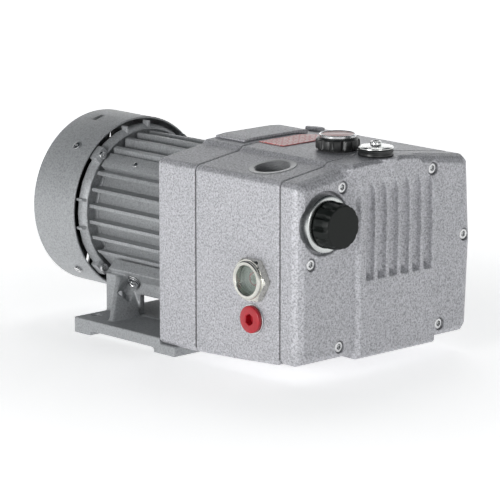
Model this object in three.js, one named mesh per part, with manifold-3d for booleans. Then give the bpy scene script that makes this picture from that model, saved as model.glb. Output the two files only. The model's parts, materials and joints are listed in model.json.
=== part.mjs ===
// Rotary vane vacuum pump with its motor, in millimetres, +Z up.
// Inside this file x = 0 is the joint between the motor flange housing and the oil casing, +X points to the
// front cover, y = 0 is the shaft's plane and z = 0 the floor. The outer group moves x = 0 so that the
// origin lies under the middle of the whole pump.
import * as THREE from "three";
import { mergeVertices } from "three/addons/utils/BufferGeometryUtils.js";
import Module from "manifold-3d";

const wasm = await Module();
wasm.setup();

// ---- Driving dimensions -------------------------------------------------------------------------------
const GAP = 0.3; // clearance between pieces that touch
const SHAFT_Z = 103.5; // height of the motor and pump shaft
const NEAR = -103; // y of the pump's near side, with the sight glass
const FAR = 113; // y of the far side at mid height
const FAR_EDGE = 109; // y of the far side at its top and bottom edges
const MOTOR_FACE = -48; // x of the flange housing's motor side
const COVER_SEAM = 107; // x of the joint between oil casing and front cover
const COVER_FACE = 131; // x of the front cover's side areas
const BAND_FACE = 135; // x of the front cover's raised band
const COVER_BOTTOM = 17.6; // underside of the front cover, beside the band
const BAND = { near: -35, far: 64, bottom: 14.7 };
const GASKET = 0.8;
const WALL = 6;

const COWL = { back: -248, mouth: -190, r: 81.5, wall: 1.8 };
const MOTOR = { back: -182, front: MOTOR_FACE - GAP, bore: 55, root: 58, tip: 69.5, pad: 67 };
const FIN_OFFSETS = [7.5, 22.5, 37];
const PADS = [ // flats along the motor: angle from the top, half width and height
  [45, 7.5, 69.3],
  [135, 12, MOTOR.pad],
  [225, 12, MOTOR.pad],
  [315, 7.5, 69.3],
];
const SHIELD = { back: -191, rim: 75.3, lip: 72, recess: [59, 70.5], recessDepth: 5, reach: 78.4 };
const SHIELD_RIBS = [-5, 15, 80, 100, 170, 190, 260, 280]; // angles of the thin ribs that carry the cowl
const QUARTERS = [45, 135, 225, 315];
const FOOT = { back: -165, front: -28, halfWidth: 97, plate: 14.7, arch: 4.4, web: 56, webThick: 6, pad: 13,
  seatHalf: 12, rearWeb: 64, screwX: -133 };

const BORE_R = 44; // pump cylinder bore
const ROTOR_R = 36;
const OFFSET = 7.6; // bore axis below the shaft axis
const CYLINDER = { back: 18, front: 94, r: 54, z: SHAFT_Z - OFFSET };
const VANE = { thick: 4, inner: 15.6, outer: 35.7, slot: 4.6 };
const VANE_ANGLES = [30, 150, 270];
const VALVE_ANGLE = 60; // direction of the exhaust valve from the bore's axis

const PORT = { x: 66, y: -72, r: 16.6, depth: 16 };
const EXHAUST = { x: 40, z: 120, r: 16.6 };
const GLASS = { x: 75.3, z: 88.5, flats: 36 };
const DRAIN = { x: 74.2, z: 52.8 };
const FILLER = { x: 76, y: -2.5, z: 189.7 };
const BALLAST = { x: 117, y: 3.5, z: 189.6 };
const KNOB = { y: -71.5, z: 141, back: 132.4, face: 153 };
const SEPARATOR = { y: 70, z: 140, r: 24 };
const RUBBER_FEET = [-30, 55];
const RUBBER_FOOT_X = 55;
const LABEL = [-27, 43]; // the label plate's ends in y
const COVER_MID = 7.5; // y about which the cover screws are spaced
const COVER_SCREWS = [
  [-57.2, 169.7],
  [-94.9, 107],
  [-60.5, 29.3],
  [54.3, 172],
  [95.1, 107.3],
  [64.3, 30.1],
];
const FLUTES = { count: 6, first: -19.8, pitch: 14.35, ledge: 84, rise: 6, top: 174, point: 13, width: 10.5,
  depth: 6.5 };

// Top line of the pump's section, from the near edge over the ridge step and plateau to the far edge.
const TOP_LINE = [
  [NEAR, 174.5],
  [NEAR + 3.5, 178.2],
  [-51, 184.8],
  [-46.5, 188.4],
  [-28, 189.6],
  [24, 189.6],
  [60, 185.2],
  [FAR_EDGE - 4, 179],
  [FAR_EDGE, 175],
];

// Height of the pump's top line at y.
function topAt(y) {
  const k = TOP_LINE.findIndex(([end]) => end >= y);
  const [[y0, z0], [y1, z1]] = [TOP_LINE[k - 1], TOP_LINE[k]];
  return z0 + ((y - y0) * (z1 - z0)) / (y1 - y0);
}

// The suction socket stands square on the sloping strip between the near edge and the ridge step.
const PORT_TILT = (Math.atan(topAt(PORT.y + 1) - topAt(PORT.y)) * 180) / Math.PI;
const PORT_Z = topAt(PORT.y);

// ---- Finishes -----------------------------------------------------------------------------------------
const FINISHES = {
  paint: { color: 0xa3a5a8, roughness: 0.5, metalness: 0.35 },
  castIron: { color: 0x6f7173, roughness: 0.6, metalness: 0.7 },
  steel: { color: 0xb9bbbd, roughness: 0.3, metalness: 1 },
  nickel: { color: 0xd3d2cb, roughness: 0.25, metalness: 1 },
  blackPlastic: { color: 0x17181a, roughness: 0.4, metalness: 0 },
  redPaint: { color: 0xb5202c, roughness: 0.35, metalness: 0.2 },
  fibre: { color: 0x3c3b38, roughness: 0.9, metalness: 0 },
  rubber: { color: 0x1c1c1d, roughness: 0.85, metalness: 0 },
  glass: { color: 0xa9c4bb, roughness: 0.08, metalness: 0 },
  copper: { color: 0xb0683f, roughness: 0.45, metalness: 0.9 },
  lamination: { color: 0x7f8285, roughness: 0.5, metalness: 0.8 },
  carbon: { color: 0x2a2a2c, roughness: 0.55, metalness: 0.1 },
  filter: { color: 0xd8d2bf, roughness: 0.95, metalness: 0 },
  label: { color: 0xb84a4a, roughness: 0.4, metalness: 0 },
};

// ---- Solids -------------------------------------------------------------------------------------------
// Turns a closed three.js geometry into a solid with its faces pointing out.
function solid(geometry) {
  const bare = geometry.clone();
  bare.deleteAttribute("normal");
  bare.deleteAttribute("uv");
  const merged = mergeVertices(bare, 1e-4);
  const triVerts = new Uint32Array(merged.index.array);
  const vertProperties = new Float32Array(merged.attributes.position.array);
  const made = new wasm.Manifold(new wasm.Mesh({ numProp: 3, vertProperties, triVerts }));
  if (made.volume() > 0) return made;
  for (let i = 0; i < triVerts.length; i += 3) {
    [triVerts[i], triVerts[i + 1]] = [triVerts[i + 1], triVerts[i]];
  }
  return new wasm.Manifold(new wasm.Mesh({ numProp: 3, vertProperties, triVerts }));
}

function geometryOf(body) {
  const mesh = body.getMesh();
  const positions = new Float32Array(mesh.numVert * 3);
  for (let i = 0; i < mesh.numVert; i++) {
    for (let k = 0; k < 3; k++) positions[i * 3 + k] = mesh.vertProperties[i * mesh.numProp + k];
  }
  const geometry = new THREE.BufferGeometry();
  geometry.setAttribute("position", new THREE.BufferAttribute(positions, 3));
  geometry.setIndex(new THREE.BufferAttribute(new Uint32Array(mesh.triVerts), 1));
  geometry.computeVertexNormals();
  return geometry;
}

const join = (first, ...rest) => rest.reduce((body, other) => body.add(other), first);
const cut = (first, ...rest) => rest.reduce((body, other) => body.subtract(other), first);

// Rotations that carry three.js's own axes to the pump's: an extrusion or a lathe runs along X, Y or Z.
const EXTRUDE_TURN = {
  x: new THREE.Matrix4().makeBasis(axis(0, 1, 0), axis(0, 0, 1), axis(1, 0, 0)),
  y: new THREE.Matrix4().makeBasis(axis(0, 0, 1), axis(1, 0, 0), axis(0, 1, 0)),
  z: new THREE.Matrix4(),
};
const LATHE_TURN = {
  x: new THREE.Matrix4().makeRotationZ(-Math.PI / 2),
  y: new THREE.Matrix4(),
  z: new THREE.Matrix4().makeRotationX(Math.PI / 2),
};

function axis(x, y, z) {
  return new THREE.Vector3(x, y, z);
}

function box(x0, x1, y0, y1, z0, z1) {
  const geometry = new THREE.BoxGeometry(x1 - x0, y1 - y0, z1 - z0);
  return solid(geometry.translate((x0 + x1) / 2, (y0 + y1) / 2, (z0 + z1) / 2));
}

// A bar with the given outline, from low to high along the direction. The outline's points are
// (y, z) along x, (z, x) along y and (x, y) along z.
function prism(direction, outline, low, high, holes = []) {
  const shape = new THREE.Shape(outline.map(([u, v]) => new THREE.Vector2(u, v)));
  for (const hole of holes) shape.holes.push(new THREE.Path(hole.map(([u, v]) => new THREE.Vector2(u, v))));
  const geometry = new THREE.ExtrudeGeometry(shape, { depth: high - low, bevelEnabled: false });
  geometry.translate(0, 0, low);
  return solid(geometry.applyMatrix4(EXTRUDE_TURN[direction]));
}

// A turned piece: profile points are (radius, distance along the direction) and close on themselves.
function turned(direction, [x, y, z], profile, segments = 16) {
  const points = [...profile, profile[0]].map(([r, h]) => new THREE.Vector2(r, h));
  const geometry = new THREE.LatheGeometry(points, segments);
  return solid(geometry.applyMatrix4(LATHE_TURN[direction]).translate(x, y, z));
}

function rod(direction, centre, r, low, high, segments = 16) {
  const profile = [
    [0, low],
    [r, low],
    [r, high],
    [0, high],
  ];
  return turned(direction, centre, profile, segments);
}

function ring(direction, centre, inner, outer, low, high, segments = 16) {
  const profile = [
    [inner, low],
    [outer, low],
    [outer, high],
    [inner, high],
  ];
  return turned(direction, centre, profile, segments);
}

// A hexagonal bar, across flats, with two corners on the outline's second axis.
function hexagon(direction, [u, v], acrossFlats, low, high) {
  const corner = acrossFlats / Math.sqrt(3);
  const outline = [];
  for (let k = 0; k < 6; k++) {
    const angle = (Math.PI / 3) * k + Math.PI / 2;
    outline.push([u + corner * Math.cos(angle), v + corner * Math.sin(angle)]);
  }
  return prism(direction, outline, low, high);
}

// Turns a solid about a line along X through (y, z), by degrees.
function tiltX(body, degrees, y = 0, z = 0) {
  return body.translate([0, -y, -z]).rotate([degrees, 0, 0]).translate([0, y, z]);
}

const onShaft = (x = 0) => [x, 0, SHAFT_Z];
const onBore = (x = 0) => [x, 0, CYLINDER.z];

// ---- Pump section -------------------------------------------------------------------------------------
// Outline of the casings in (y, z), moved inwards by inset, with the underside at bottom.
function sectionOutline(bottom, inset = 0) {
  const full = [
    [NEAR + 4, bottom],
    [NEAR, bottom + 4],
    ...TOP_LINE,
    [FAR, SHAFT_Z],
    [FAR_EDGE, bottom + 6],
    [FAR_EDGE - 5, bottom],
  ];
  if (inset === 0) return full;
  const midY = (NEAR + FAR) / 2;
  return full.map(([y, z]) => {
    const inwards = Math.min(1, Math.abs(y - midY) / 20);
    const lift = z > SHAFT_Z + 1 ? -inset : z < bottom + 8 ? inset : 0;
    return [y - Math.sign(y - midY) * inset * inwards, z + lift];
  });
}

// The underside rises from the motor flange to the front cover.
const UNDERSIDE = { motor: 9.7, seam: 9.9, cover: 16.8 };

function motorFlangeHousing() {
  const front = -GASKET / 2 - GAP;
  const shell = prism("x", sectionOutline(UNDERSIDE.motor), MOTOR_FACE, front);
  const cavity = prism("x", sectionOutline(UNDERSIDE.motor, WALL + 1), MOTOR_FACE + 8, front + 1);
  const hub = ring("x", onShaft(), 15, 32, MOTOR_FACE + 4, -16);
  const bearingSeat = rod("x", onShaft(), 21.3, MOTOR_FACE + 14, -10);
  const shaftHole = rod("x", onShaft(), 14, MOTOR_FACE - 1, 0);
  return cut(join(cut(shell, cavity), hub), bearingSeat, shaftHole);
}

function gasketBetween(x, bottom) {
  const outer = prism("x", sectionOutline(bottom, 1), x - GASKET / 2, x + GASKET / 2);
  return cut(outer, prism("x", sectionOutline(bottom, WALL + 1), x - 1, x + 1));
}

// Local frame of the suction socket: z runs out of the socket, square to the sloping strip.
function atPort(body) {
  return body.rotate([PORT_TILT, 0, 0]).translate([PORT.x, PORT.y, PORT_Z]);
}

function oilCasing() {
  const back = GASKET / 2 + GAP;
  const front = COVER_SEAM - GASKET / 2 - GAP;
  const rise = (UNDERSIDE.cover - UNDERSIDE.seam) / COVER_SEAM;
  let body = prism("x", sectionOutline(UNDERSIDE.seam), back, front);
  // The underside is cut to its slope by a wedge, and so is the floor of the sump.
  const wedge = (lift) => prism("y", [[lift - 40, -1], [lift + UNDERSIDE.seam - rise, -1],
    [lift + UNDERSIDE.cover + rise, COVER_SEAM + 1], [lift - 40, COVER_SEAM + 1]], -200, 200);
  body = cut(body, wedge(0));
  const cavity = cut(prism("x", sectionOutline(UNDERSIDE.seam, WALL), back + 7, front + 1), wedge(WALL));
  body = cut(body, cavity);
  const bosses = [
    atPort(rod("z", [0, 0, 0], 23, -22, -3)),
    rod("y", [EXHAUST.x, 0, EXHAUST.z], 24, FAR - 18, FAR + 0.01),
    rod("z", [FILLER.x, FILLER.y, 0], 19, 170, 186),
    rod("y", [GLASS.x, 0, GLASS.z], 21, NEAR + 2, NEAR + 12),
    rod("y", [DRAIN.x, 0, DRAIN.z], 15, NEAR + 2, NEAR + 14),
  ];
  for (const y of RUBBER_FEET) bosses.push(rod("z", [RUBBER_FOOT_X, y, 0], 13, 12.6, 20));
  body = join(body, ...bosses);
  return cut(
    body,
    atPort(rod("z", [0, 0, 0], PORT.r, -PORT.depth, 9)),
    atPort(rod("z", [0, 0, 0], 10, -30, 0)),
    rod("y", [EXHAUST.x, 0, EXHAUST.z], EXHAUST.r, FAR - 15, FAR + 1),
    rod("y", [EXHAUST.x, 0, EXHAUST.z], 10, FAR - 30, FAR),
    rod("z", [FILLER.x, FILLER.y, 0], 12.6, 160, 200),
    rod("y", [GLASS.x, 0, GLASS.z], 16.4, NEAR - 1, NEAR + 20),
    rod("y", [DRAIN.x, 0, DRAIN.z], 10.4, NEAR - 1, NEAR + 20),
    rod("x", onShaft(), 24, back - 1, back + 9),
    rod("z", [BALLAST.x, BALLAST.y, 0], 20, 165, 200),
  );
}

// A vertical flute of the raised band: a half-round trough with a pointed top and a sloping ledge below.
function flute(y) {
  const { ledge, rise, top, point, width, depth } = FLUTES;
  const bullet = turned("z", [0, 0, 0], [[0, ledge - 1], [1, ledge - 1], [1, top - point], [0, top]], 16);
  const aboveLedge = [
    [ledge, BAND_FACE + 1],
    [ledge, BAND_FACE],
    [ledge + rise, BAND_FACE - depth],
    [top + 1, BAND_FACE - depth - 1],
    [top + 1, BAND_FACE + 1],
  ];
  return bullet.scale([depth, width / 2, 1]).translate([BAND_FACE, y, 0])
    .intersect(prism("y", aboveLedge, y - width, y + width));
}

function frontCover() {
  const back = COVER_SEAM + GASKET / 2 + GAP;
  const bevel = 9;
  const bottom = COVER_BOTTOM;
  const shape = (inset) => {
    const middle = [5, 98];
    return sectionOutline(bottom).map(([y, z]) => [
      y - ((y - middle[0]) / 108) * inset,
      z - ((z - middle[1]) / 85) * inset,
    ]);
  };
  // The rounded front is a stack of two tapering slabs in front of the straight part.
  let body = prism("x", sectionOutline(bottom), back, COVER_FACE - bevel);
  body = join(body, taper(shape(0), shape(2.2), COVER_FACE - bevel, COVER_FACE - 3));
  body = join(body, taper(shape(2.2), shape(7), COVER_FACE - 3, COVER_FACE));
  const { near, far, bottom: bandBottom } = BAND;
  const bandOutline = (inset) => [
    [near + inset, bandBottom + inset],
    [near + inset, 172],
    [near - 9 + inset, 184],
    [near - 5, 188.8 - inset],
    [-28, 189.5 - inset],
    [24, 189.5 - inset],
    [40, 187.5 - inset],
    [far - 16, 176],
    [far - inset, 160],
    [far - inset, bandBottom + inset],
  ];
  const band = join(
    prism("x", bandOutline(0.2), back, COVER_FACE),
    taper(bandOutline(0.2), bandOutline(3), COVER_FACE, BAND_FACE),
  );
  body = join(body, band);
  const cavityOutline = sectionOutline(bottom, WALL);
  let cavity = prism("x", cavityOutline, back - 1, COVER_FACE - 11);
  const keep = [
    rod("x", [0, KNOB.y, KNOB.z], 33, back - 2, COVER_FACE),
    rod("z", [BALLAST.x, BALLAST.y, 0], 19.5, 160, 200),
  ];
  for (const [dy, z] of COVER_SCREWS) keep.push(rod("x", [0, COVER_MID + dy, z], 9.5, back - 2, COVER_FACE));
  cavity = cut(cavity, ...keep);
  body = cut(body, cavity);
  const padTop = 189.3;
  body = join(body, rod("z", [BALLAST.x, BALLAST.y, 0], 19.5, 172, padTop));
  const cuts = [
    rod("x", [0, KNOB.y, KNOB.z], 28.4, COVER_FACE - 7, BAND_FACE + 5, 20),
    rod("x", [0, KNOB.y, KNOB.z], 12.4, back - 2, COVER_FACE),
    rod("z", [BALLAST.x, BALLAST.y, 0], 6.4, 160, 200, 10),
  ];
  for (let k = 0; k < FLUTES.count; k++) cuts.push(flute(FLUTES.first + k * FLUTES.pitch));
  for (const [dy, z] of COVER_SCREWS) {
    cuts.push(rod("x", [0, COVER_MID + dy, z], 5.9, COVER_FACE - 6.5, BAND_FACE + 2, 10));
    cuts.push(rod("x", [0, COVER_MID + dy, z], 3.4, back - 2, COVER_FACE, 10));
  }
  return cut(body, ...cuts);
}

// A slab along X whose outline changes from one polygon to another with the same number of points.
function taper(from, to, x0, x1) {
  const shape = new THREE.Shape(from.map(([u, v]) => new THREE.Vector2(u, v)));
  const geometry = new THREE.ExtrudeGeometry(shape, { depth: x1 - x0, bevelEnabled: false });
  const position = geometry.attributes.position;
  for (let i = 0; i < position.count; i++) {
    if (position.getZ(i) < (x1 - x0) / 2) continue;
    const at = from.findIndex(([u, v]) => Math.hypot(u - position.getX(i), v - position.getY(i)) < 1e-3);
    position.setXY(i, to[at][0], to[at][1]);
  }
  geometry.translate(0, 0, x0);
  return solid(geometry.applyMatrix4(EXTRUDE_TURN.x));
}

// ---- Motor --------------------------------------------------------------------------------------------
function motorHousing() {
  const { back, front, bore, root, tip } = MOTOR;
  let body = rod("x", onShaft(), root, back, front, 24);
  const half = 1.6;
  for (const offset of FIN_OFFSETS) {
    for (const side of [-1, 1]) {
      const at = side * offset;
      body = join(body, box(back, front, -tip, tip, SHAFT_Z + at - half, SHAFT_Z + at + half));
      body = join(body, box(back, front, at - half, at + half, SHAFT_Z - tip, SHAFT_Z + tip));
    }
  }
  for (const [angle, halfWidth, height] of PADS) {
    const flat = box(back, front, -halfWidth, halfWidth, SHAFT_Z, SHAFT_Z + height);
    body = join(body, tiltX(flat, angle, 0, SHAFT_Z));
  }
  body = body.intersect(rod("x", onShaft(), tip, back - 1, front + 1, 32));
  body = join(body, rod("x", onShaft(), tip, front - 9, front, 24));
  return cut(body, rod("x", onShaft(), bore, back - 1, front - 6, 24),
    rod("x", onShaft(), 16, front - 8, front + 1));
}

// The shield's flank leans in towards the fins, whose ends stand over a ring-shaped recess.
function motorEndShield() {
  const { back, rim, lip, recess, recessDepth, reach } = SHIELD;
  const front = MOTOR.back - GAP;
  let body = turned("x", onShaft(), [
    [0, back], [rim, back], [rim, front - 7.5], [lip, front], [recess[1], front],
    [recess[1], front - recessDepth], [recess[0], front - recessDepth], [recess[0], front], [0, front]], 32);
  body = join(body, rod("x", onShaft(), 26, back - 5, back + 2));
  for (const angle of QUARTERS) {
    body = join(body, tiltX(box(back, front, -7, 7, SHAFT_Z + lip - 1, SHAFT_Z + reach), angle, 0, SHAFT_Z));
  }
  for (const angle of SHIELD_RIBS) {
    const rib = box(back, front - 1, -1.2, 1.2, SHAFT_Z + lip - 1, SHAFT_Z + reach);
    body = join(body, tiltX(rib, angle, 0, SHAFT_Z));
  }
  return cut(body, rod("x", onShaft(), 20.3, back - 2, front + 1), rod("x", onShaft(), 12, back - 8, front));
}

function fanCowl() {
  const { back, mouth, r, wall } = COWL;
  const inner = r - wall;
  const body = turned("x", onShaft(), [
    [0, back], [r - 2, back], [r - 0.6, back + 0.6], [r, back + 2], [r, mouth],
    [inner, mouth], [inner, back + 3.8], [inner - 2, back + 2], [0, back + 2]], 32);
  const slots = [];
  for (let k = 0; k < 12; k++) {
    for (const [low, high] of [[18, 40], [46, 70]]) {
      const slot = box(back - 1, back + 3, -2.2, 2.2, SHAFT_Z + low, SHAFT_Z + high);
      slots.push(tiltX(slot, 15 + 30 * k, 0, SHAFT_Z));
    }
  }
  const topSlot = tiltX(box(-228, -222.5, -6.5, 6.5, SHAFT_Z + 75, SHAFT_Z + 90), 13.5, 0, SHAFT_Z);
  const screwHoles = QUARTERS.map((angle) =>
    tiltX(rod("z", [-211, 0, 0], 2.6, SHAFT_Z + 70, SHAFT_Z + 90, 8), angle, 0, SHAFT_Z));
  return cut(body, ...slots, topSlot, ...screwHoles);
}

function coolingFan() {
  const back = -232;
  const front = -205;
  let body = join(rod("x", onShaft(), 15, back, front - 3), rod("x", onShaft(), 66, front - 3, front, 20));
  for (let k = 0; k < 7; k++) {
    const blade = box(back + 3, front - 2, -1.2, 1.2, SHAFT_Z + 12, SHAFT_Z + 66);
    body = join(body, tiltX(blade, (360 / 7) * k, 0, SHAFT_Z));
  }
  return cut(body, rod("x", onShaft(), 8.3, back - 1, front + 1));
}

function statorWithWindings() {
  const core = ring("x", onShaft(), 35, 54.6, -150, -80, 24);
  const windings = [
    ring("x", onShaft(), 37, 50, -168, -149, 20),
    ring("x", onShaft(), 37, 50, -81, -62, 20),
  ];
  return join(core, ...windings);
}

function driveShaft() {
  return turned("x", onShaft(), [
    [0, -234], [8, -234], [8, -204], [10, -204], [10, -160], [11, -160], [11, -70],
    [10, -70], [10, 14], [9, 14], [9, 101], [0, 101]], 16);
}

// ---- Foot ---------------------------------------------------------------------------------------------
function footBracket() {
  const { back, front, halfWidth, plate, arch, web, webThick, pad, seatHalf, rearWeb, screwX } = FOOT;
  const under = MOTOR.pad + GAP;
  // The part under the pump section stays low enough to clear the flange housing above it.
  const clear = UNDERSIDE.motor - GAP;
  let body = box(back, MOTOR_FACE - GAP, -halfWidth - 6, halfWidth, 0, plate);
  body = join(body, box(MOTOR_FACE - 1, front, -halfWidth - 6, halfWidth, 0, clear));
  const low = plate - 1;
  const top = 50;
  for (const side of [-1, 1]) {
    const near = side * (web - webThick);
    const far = side * web;
    body = join(body, box(back, -62, Math.min(near, far), Math.max(near, far), low, top));
    // Behind the brace the web is thicker.
    const outside = side * rearWeb;
    body = join(body, box(back, -143, Math.min(near, outside), Math.max(near, outside), low, top));
    const seat = box(-160, -66, -seatHalf, seatHalf, SHAFT_Z + under, SHAFT_Z + under + pad);
    body = join(body, tiltX(seat, side === -1 ? 135 : 225, 0, SHAFT_Z));
    // Brace that leans towards the cowl, with a sloping outer edge.
    const brace = prism("y", [[low, -129], [low, -123], [top, -142], [top, -148]], -95, 95);
    const edge = prism("x", [[near, low], [side * 93, low], [side * 67, top], [near, top]], -150, -120);
    body = join(body, brace.intersect(edge));
  }
  const reach = web + 2;
  const windows = [-1, 1].map((side) => box(-127, -88, Math.min(side * 40, side * reach),
    Math.max(side * 40, side * reach), 15.5, 34));
  const archCut = prism("y", [[-1, back + 22], [arch - 1, back + 22], [arch, back + 26], [arch, front - 32],
    [arch - 1, front - 28], [-1, front - 28]], -200, 200);
  const holes = [];
  for (const x of [back + 9, front - 10]) {
    for (const y of [-84, 84]) holes.push(rod("z", [x, y, 0], 4.5, -1, 30, 10));
  }
  const motorRound = rod("x", onShaft(), MOTOR.tip + GAP, -200, -40, 32);
  const padFaces = QUARTERS.map((angle) =>
    tiltX(box(-200, -40, -17.5, 17.5, SHAFT_Z, SHAFT_Z + under), angle, 0, SHAFT_Z));
  const screws = [135, 225].flatMap((angle) => [
    tiltX(rod("z", [screwX, 0, SHAFT_Z], 3.6, 60, 90, 10), angle, 0, SHAFT_Z),
    tiltX(rod("z", [screwX, 0, SHAFT_Z], 7.6, under + pad - 0.5, 100), angle, 0, SHAFT_Z),
  ]);
  return cut(body, ...windows, archCut, ...holes, motorRound, ...padFaces, ...screws);
}

// A cap screw along z with its seat at 0, head above and shank below, and a hexagon socket.
function capScrew(headR, headH, shankR, shankL, socket, segments = 10) {
  const body = turned("z", [0, 0, 0], [
    [0, -shankL], [shankR, -shankL], [shankR, 0], [headR, 0], [headR, headH - 0.6], [headR - 0.6, headH],
    [0, headH]], segments);
  return cut(body, hexagon("z", [0, 0], socket, headH * 0.45, headH + 1));
}

// ---- Pump ---------------------------------------------------------------------------------------------
// Local frame of the exhaust valve: z points out of the cylinder at VALVE_ANGLE.
const atValve = (body) => body.rotate([VALVE_ANGLE - 90, 0, 0]).translate(onBore());

function pumpCylinder() {
  const { back, front, r } = CYLINDER;
  const flat = 50.5;
  const cuts = [
    rod("x", onBore(), BORE_R, back - 1, front + 1, 32),
    atValve(box(back + 4, front - 4, -26, 26, flat, 60)),
    // Inlet passage towards the suction valve.
    box(46, 78, -54, -30, CYLINDER.z + 18, CYLINDER.z + 60),
  ];
  for (const x of [38, 56, 74]) cuts.push(atValve(rod("z", [x, 0, 0], 4, 30, 60, 10)));
  return cut(rod("x", onBore(), r, back, front, 32), ...cuts);
}

function endPlate(low, high) {
  return cut(rod("x", onBore(), CYLINDER.r, low, high, 24), rod("x", onShaft(), 10.8, low - 1, high + 1));
}

function pumpRotor() {
  const { back, front } = CYLINDER;
  let body = cut(rod("x", onShaft(), ROTOR_R, back + GAP, front - GAP, 24),
    rod("x", onShaft(), 9 + GAP, back - 1, front + 1));
  for (const angle of VANE_ANGLES) body = cut(body, atVane(angle, box(back - 1, front + 1,
    -VANE.slot / 2, VANE.slot / 2, VANE.inner - 0.4, ROTOR_R + 2)));
  return body;
}

// Local frame of a vane: z points out of the rotor at the given angle, which is measured from +Y to +Z.
const atVane = (angle, body) => body.rotate([angle - 90, 0, 0]).translate(onShaft());

function vane(angle) {
  const { back, front } = CYLINDER;
  return atVane(angle, box(back + 0.6, front - 0.6, -VANE.thick / 2, VANE.thick / 2, VANE.inner, VANE.outer));
}

function exhaustValveStop() {
  return join(atValve(box(30, 82, -12, -8.2, 50.8, 56)), atValve(box(30, 82, -9, 8, 53.7, 56)));
}

function separatorCartridge() {
  const centre = [0, SEPARATOR.y, SEPARATOR.z];
  const r = SEPARATOR.r;
  return turned("x", centre, [
    [8, 14], [r, 14], [r, 18], [r - 1.5, 18], [r - 1.5, 84], [r, 84], [r, 88], [8, 88]], 18);
}

// ---- Suction line -------------------------------------------------------------------------------------
function suctionStrainer() {
  let body = turned("z", [0, 0, 0], [
    [0, -44], [19, -44], [19, -22.4], [17.2, -22.4], [17.2, -42], [0, -42]], 16);
  for (let k = 0; k < 8; k++) {
    body = cut(body, box(12, 24, -4, 4, -39, -28).rotate([0, 0, 45 * k]));
  }
  return atPort(body);
}

function compressionSpring(at, coil, wire, low, high, turns) {
  const points = [];
  const steps = turns * 10;
  for (let i = 0; i <= steps; i++) {
    const angle = (2 * Math.PI * turns * i) / steps;
    const height = low + ((high - low) * i) / steps;
    points.push(new THREE.Vector3(coil * Math.cos(angle), coil * Math.sin(angle), height));
  }
  const outline = new THREE.Shape();
  outline.absarc(0, 0, wire, 0, 2 * Math.PI);
  const path = new THREE.CatmullRomCurve3(points);
  const geometry = new THREE.ExtrudeGeometry(outline, { steps, extrudePath: path, curveSegments: 2,
    bevelEnabled: false });
  return at(solid(geometry));
}

// ---- Fittings -----------------------------------------------------------------------------------------
function sightGlassNut() {
  const centre = [GLASS.x, 0, GLASS.z];
  let body = turnHexagon(hexagon("y", [GLASS.z, GLASS.x], GLASS.flats, NEAR - 7.5, NEAR - GAP));
  body = body.intersect(turned("y", centre, [
    [0, NEAR - 8], [18.4, NEAR - 8], [20.8, NEAR - 5.5], [20.8, NEAR + 1], [0, NEAR + 1]], 24));
  const collar = turned("y", centre, [
    [0, NEAR - 10], [16.2, NEAR - 10], [17.2, NEAR - 9], [17.2, NEAR - 6], [0, NEAR - 6]], 20);
  const shank = rod("y", centre, 16, NEAR - 1, NEAR + 12);
  body = join(body, collar, shank);
  return cut(body, rod("y", centre, 13, NEAR - 11, NEAR + 20), rod("y", centre, 14.8, NEAR - 5, NEAR + 20));
}

// The nut stands with two corners up and down.
function turnHexagon(body) {
  return body.translate([-GLASS.x, 0, -GLASS.z]).rotate([0, 30, 0]).translate([GLASS.x, 0, GLASS.z]);
}

function drainPlug() {
  const centre = [DRAIN.x, 0, DRAIN.z];
  const body = turned("y", centre, [
    [0, NEAR - 5], [11, NEAR - 5], [12.2, NEAR - 4], [12.2, NEAR - 1.9], [10, NEAR - 1.9], [10, NEAR + 12],
    [0, NEAR + 12]], 16);
  return cut(body, hexagon("y", [DRAIN.z, DRAIN.x], 9, NEAR - 6, NEAR + 4));
}

// Outline of a fluted grip: rounded lobes around a circle.
function lobedOutline(r, depth, lobes, steps) {
  const outline = [];
  for (let i = 0; i < lobes * steps; i++) {
    const angle = (2 * Math.PI * i) / (lobes * steps);
    const wave = Math.min(1, 1.6 * Math.abs(Math.cos((lobes * angle) / 2)));
    outline.push([(r - depth * (1 - wave)) * Math.cos(angle), (r - depth * (1 - wave)) * Math.sin(angle)]);
  }
  return outline;
}

function fillerCap() {
  const z = FILLER.z;
  const grip = prism("z", lobedOutline(19.6, 2, 12, 4), z + 1.6, z + 10.5).translate([FILLER.x, FILLER.y, 0]);
  const crown = turned("z", [FILLER.x, FILLER.y, 0], [
    [0, z + 10], [17.4, z + 10], [17.4, z + 11.5], [16.3, z + 12.4], [16.3, z + 14.6], [15.2, z + 14.6],
    [15.2, z + 14], [0, z + 14]], 18);
  const stud = rod("z", [FILLER.x, FILLER.y, 0], 11.8, z - 14, z + 3, 16);
  return join(grip, crown, stud);
}

function ballastRing() {
  const z = BALLAST.z;
  const body = turned("z", [BALLAST.x, BALLAST.y, 0], [
    [5.9, z - 8], [8, z - 8], [15.6, z + 0.1], [15.6, z + 5.6], [14.8, z + 6.4], [5.9, z + 6.4]], 18);
  return cut(body, ring("z", [BALLAST.x, BALLAST.y, 0], 5.95, 17, z - 9, z, 18));
}

function ballastPlate() {
  return turned("z", [BALLAST.x, BALLAST.y, BALLAST.z], [
    [0, 6.7], [15.8, 6.7], [15.8, 7.6], [10, 9], [5, 9.6], [5, 11.5], [4, 12.6], [2, 12.6], [2, 10],
    [0, 10]], 36);
}

function knobSeat() {
  const centre = [0, KNOB.y, KNOB.z];
  return turned("x", centre, [
    [9.4, 98], [12, 98], [12, 124.3], [25, 124.3], [25, 133.6], [23.4, 135], [20.5, 135], [19, 132],
    [5, 132], [5, 126], [9.4, 126]], 20);
}

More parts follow.
